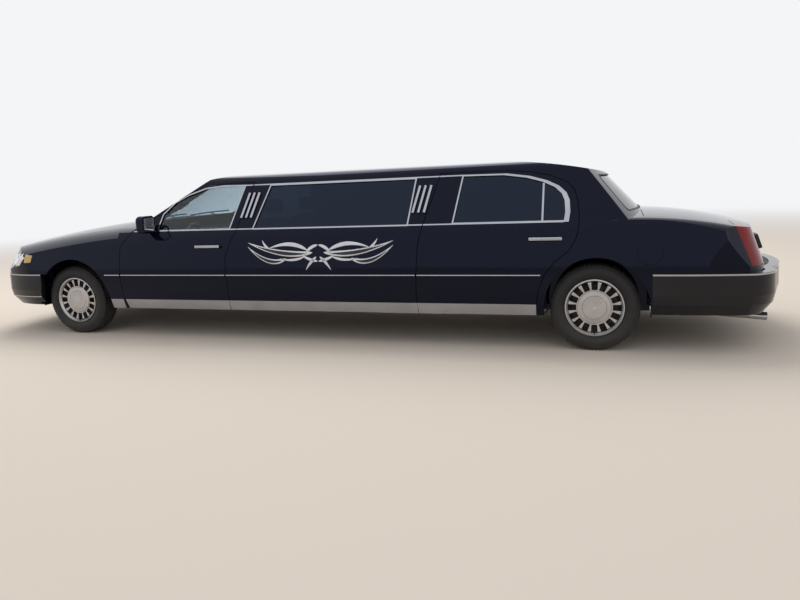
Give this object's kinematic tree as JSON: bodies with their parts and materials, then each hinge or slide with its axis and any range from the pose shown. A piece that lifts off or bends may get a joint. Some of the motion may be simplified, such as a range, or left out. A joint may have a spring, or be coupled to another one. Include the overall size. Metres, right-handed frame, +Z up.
{
  "type": "stretch limousine",
  "caption": "Long dark saloon car with a stretched middle section, side windows, slanted lamp bars behind the front doors and alloy wheels.",
  "frame": {"origin": "middle of the car's bounding box, on the ground", "axes": "+X rearwards along the car, +Y to the car's right, +Z up"},
  "size_m": [7.359, 2.17, 1.4736],
  "materials": {
    "body_paint": "gloss near-black navy paint",
    "chassis_steel": "satin black chassis paint",
    "black_trim": "matt black",
    "bumper_black": "gloss black moulded cover",
    "chrome": "polished",
    "lamp_glass": "clear moulded lens",
    "tail_glass": "red moulded lens",
    "dark_glass": "dark tinted",
    "clear_glass": "lightly tinted",
    "cast_metal": "as cast",
    "exhaust_steel": "dull steel",
    "seat_leather": "smooth dark hide",
    "interior_plastic": "grained",
    "wheel_alloy": "machined and lacquered",
    "tyre": "black rubber"
  },
  "bodies": {
    "body": {"body_shell": "body_paint", "front_wings": "body_paint", "chassis_frame": "chassis_steel", "floor_pan": "chassis_steel", "radiator_panel": "black_trim", "grille": "chrome", "headlamps": "lamp_glass", "tail_lamps": "tail_glass", "front_bumper": "bumper_black", "rear_bumper": "bumper_black", "fixed_glass": "dark_glass", "body_brightwork": "chrome", "light_bars": "chrome", "engine_block": "cast_metal", "front_suspension": "chassis_steel", "rear_axle": "cast_metal", "exhaust": "exhaust_steel", "fuel_tank": "black_trim", "seats": "seat_leather", "dashboard": "interior_plastic", "steering_wheel": "interior_plastic"},
    "hood": {"hood": "body_paint"},
    "boot_lid": {"boot_lid": "body_paint"},
    "front_door_left": {"front_door_left": "body_paint", "front_door_glass_left": "clear_glass", "front_door_brightwork_left": "chrome"},
    "rear_door_left": {"rear_door_left": "body_paint", "rear_door_glass_left": "dark_glass", "rear_door_brightwork_left": "chrome"},
    "front_knuckle_left": {"front_knuckle_left": "cast_metal"},
    "front_wheel_left": {"front_wheel_left": "wheel_alloy", "front_tyre_left": "tyre"},
    "rear_wheel_left": {"rear_wheel_left": "wheel_alloy", "rear_tyre_left": "tyre"},
    "front_door_right": {"front_door_right": "body_paint", "front_door_glass_right": "clear_glass", "front_door_brightwork_right": "chrome"},
    "rear_door_right": {"rear_door_right": "body_paint", "rear_door_glass_right": "dark_glass", "rear_door_brightwork_right": "chrome"},
    "front_knuckle_right": {"front_knuckle_right": "cast_metal"},
    "front_wheel_right": {"front_wheel_right": "wheel_alloy", "front_tyre_right": "tyre"},
    "rear_wheel_right": {"rear_wheel_right": "wheel_alloy", "rear_tyre_right": "tyre"}
  },
  "joints": [
    {"name": "hood_hinge", "type": "hinge", "parent": "body", "child": "hood", "pos_m": [-1.9685, 0, 1.088], "axis": [0, 1, 0], "range_deg": [0, 50]},
    {"name": "boot_hinge", "type": "hinge", "parent": "body", "child": "boot_lid", "pos_m": [2.6235, 0, 1.042], "axis": [0, -1, 0], "range_deg": [0, 70]},
    {"name": "front_door_hinge_left", "type": "hinge", "parent": "body", "child": "front_door_left", "pos_m": [-1.9925, -0.99, 0.6], "axis": [0, 0, -1], "range_deg": [0, 65]},
    {"name": "rear_door_hinge_left", "type": "hinge", "parent": "body", "child": "rear_door_left", "pos_m": [0.8915, -0.99, 0.6], "axis": [0, 0, -1], "range_deg": [0, 65]},
    {"name": "front_door_hinge_right", "type": "hinge", "parent": "body", "child": "front_door_right", "pos_m": [-1.9925, 0.99, 0.6], "axis": [0, 0, 1], "range_deg": [0, 65]},
    {"name": "rear_door_hinge_right", "type": "hinge", "parent": "body", "child": "rear_door_right", "pos_m": [0.8915, 0.99, 0.6], "axis": [0, 0, 1], "range_deg": [0, 65]},
    {"name": "steer_left", "type": "hinge", "parent": "body", "child": "front_knuckle_left", "pos_m": [-2.6205, -0.7, 0.334], "axis": [0, 0, 1], "range_deg": [-32, 32]},
    {"name": "front_wheel_spin_left", "type": "hinge", "parent": "front_knuckle_left", "child": "front_wheel_left", "pos_m": [-2.6205, -0.805, 0.334], "axis": [0, 1, 0], "continuous": true},
    {"name": "rear_wheel_spin_left", "type": "hinge", "parent": "body", "child": "rear_wheel_left", "pos_m": [2.2745, -0.833, 0.334], "axis": [0, 1, 0], "continuous": true},
    {"name": "steer_right", "type": "hinge", "parent": "body", "child": "front_knuckle_right", "pos_m": [-2.6205, 0.7, 0.334], "axis": [0, 0, 1], "range_deg": [-32, 32]},
    {"name": "front_wheel_spin_right", "type": "hinge", "parent": "front_knuckle_right", "child": "front_wheel_right", "pos_m": [-2.6205, 0.805, 0.334], "axis": [0, 1, 0], "continuous": true},
    {"name": "rear_wheel_spin_right", "type": "hinge", "parent": "body", "child": "rear_wheel_right", "pos_m": [2.2745, 0.833, 0.334], "axis": [0, 1, 0], "continuous": true}
  ],
  "couplings": [
    {"joint": "steer_right", "follows": "steer_left", "ratio": 1}
  ]
}
